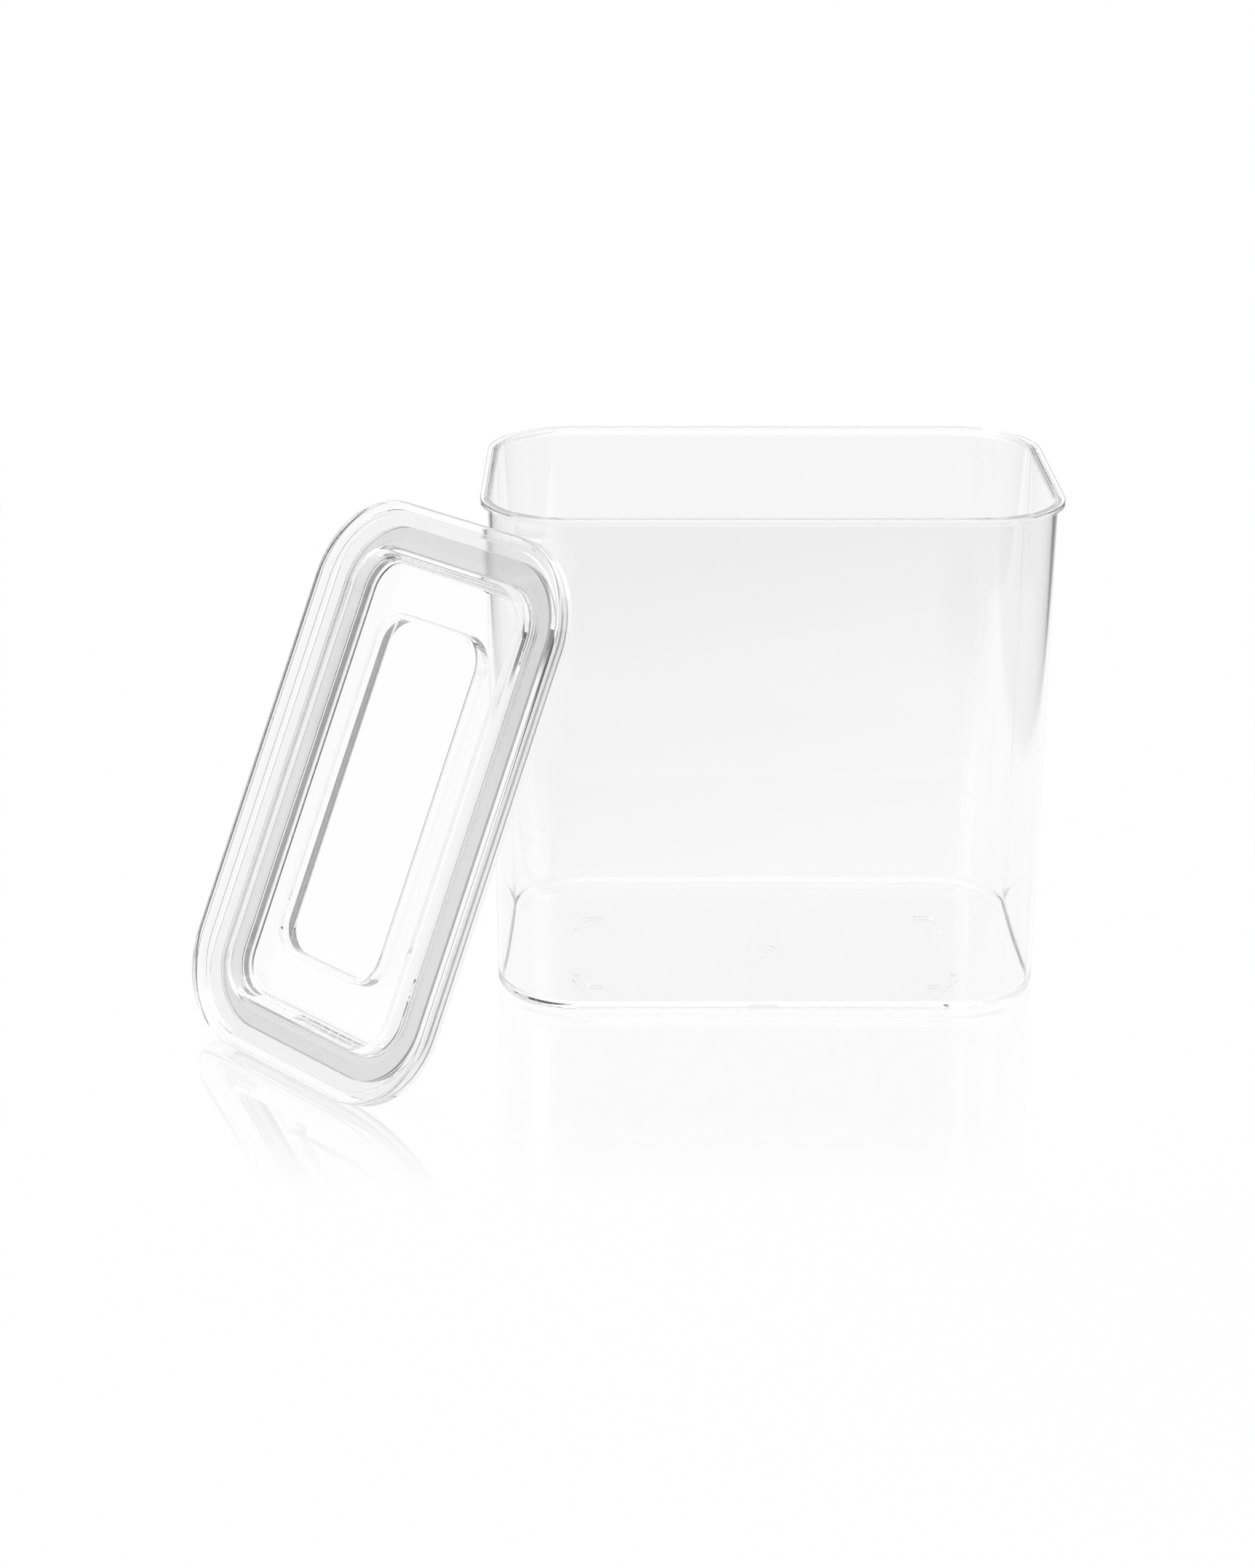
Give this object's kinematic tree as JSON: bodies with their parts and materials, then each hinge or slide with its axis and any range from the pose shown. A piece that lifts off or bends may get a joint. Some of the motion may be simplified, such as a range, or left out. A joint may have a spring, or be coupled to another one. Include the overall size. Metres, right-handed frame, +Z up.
{
  "type": "storage box",
  "caption": "Tall clear storage box with rounded corners and a thin lip round its mouth, its press-on sealed lid taken off and leaning against one corner.",
  "frame": {"origin": "on the table, in the middle of the rectangle that the box and the leaning lid take up together; the box's own middle is at x 51.3 mm, y 38.9 mm", "axes": "+X along the length of the box, away from the lid; +Y from the front of the box to its back; +Z up"},
  "size_m": [0.3026, 0.2008, 0.184],
  "materials": {
    "box_plastic": "clear, polished acrylic",
    "lid_plastic": "clear, polished acrylic",
    "gasket_silicone": "translucent satin silicone"
  },
  "bodies": {
    "box": {"box": "box_plastic"},
    "lid": {"lid": "lid_plastic", "gasket": "gasket_silicone"}
  },
  "joints": [
    {"name": "lid_take_away", "type": "slide", "parent": "box", "child": "lid", "axis": [-0.6391, -0.6303, 0.4407], "range_m": [0, 0.15]}
  ]
}
